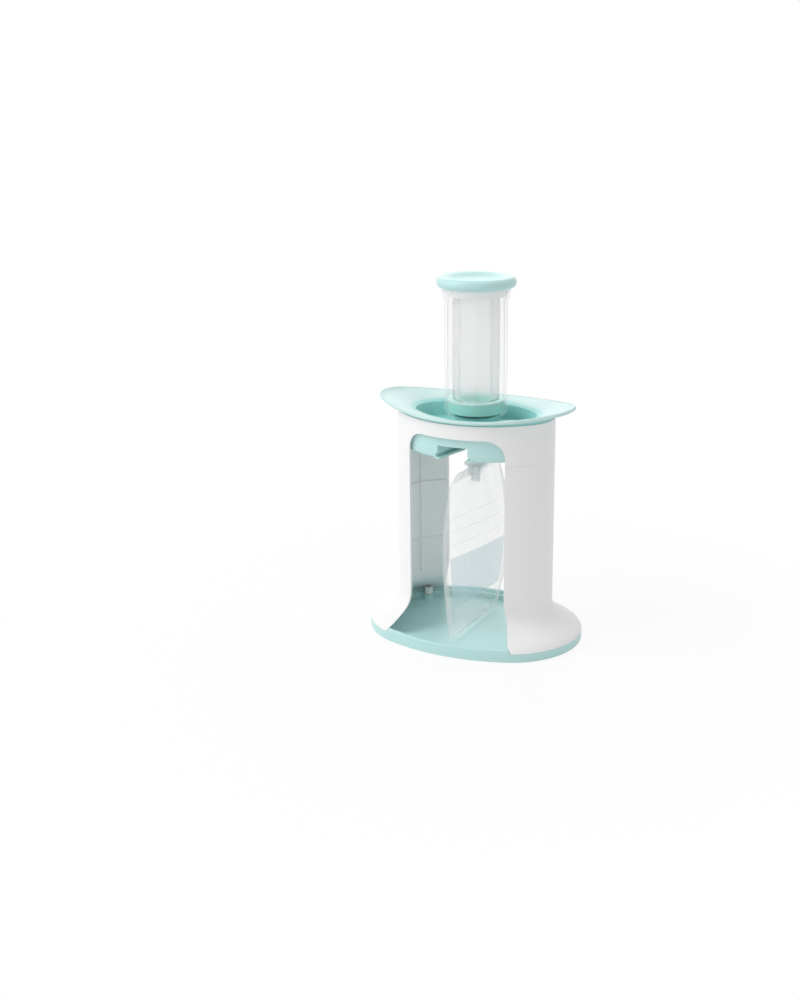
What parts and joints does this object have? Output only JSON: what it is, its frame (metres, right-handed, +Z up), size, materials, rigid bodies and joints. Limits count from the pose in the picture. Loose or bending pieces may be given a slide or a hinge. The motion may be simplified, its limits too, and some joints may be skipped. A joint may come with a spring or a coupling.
{
  "type": "food pouch filling station",
  "caption": "Free-standing press that fills reusable baby food pouches: oval arch stand, winged bowl, clear filling tube with plunger, and a pouch held by its spout.",
  "frame": {"origin": "centre of the footprint, on the surface the station stands on", "axes": "+Z up, the plunger's axis; +X along the oval's long side; -Y the front, where the pouch slides in"},
  "size_m": [0.188, 0.135, 0.3063],
  "materials": {
    "mint_plastic": "satin",
    "white_plastic": "satin",
    "clear_plastic": "clear",
    "frosted_plastic": "frosted",
    "collar_plastic": "satin",
    "silicone": "matt",
    "pouch_film": "clear",
    "spout_plastic": "clear",
    "screw_steel": "bright",
    "foot_rubber": "matt"
  },
  "bodies": {
    "stand": {"base_tray": "mint_plastic", "left_leg": "white_plastic", "right_leg": "white_plastic", "upper_housing": "white_plastic", "leg_screws": "screw_steel", "foot_front_left": "foot_rubber", "foot_front_right": "foot_rubber", "foot_rear_left": "foot_rubber", "foot_rear_right": "foot_rubber"},
    "bowl": {"funnel_tray": "mint_plastic", "spout_holder": "mint_plastic", "holder_screws": "screw_steel"},
    "tube": {"filling_tube": "clear_plastic", "tube_gasket": "silicone"},
    "plunger": {"plunger_column": "frosted_plastic", "plunger_collar": "collar_plastic", "plunger_knob": "mint_plastic", "piston_head": "mint_plastic", "piston_seal": "silicone"},
    "pouch": {"pouch_film": "pouch_film", "pouch_spout": "spout_plastic"}
  },
  "joints": [
    {"name": "tray_lift", "type": "slide", "parent": "stand", "child": "bowl", "axis": [0, 0, 1], "range_m": [0, 0.045]},
    {"name": "tube_lift", "type": "slide", "parent": "bowl", "child": "tube", "axis": [0, 0, 1], "range_m": [0, 0.06]},
    {"name": "plunger_press", "type": "slide", "parent": "tube", "child": "plunger", "axis": [0, 0, 1], "range_m": [0, 0.105]},
    {"name": "pouch_slide", "type": "slide", "parent": "bowl", "child": "pouch", "axis": [0, -1, 0], "range_m": [0, 0.115]}
  ]
}
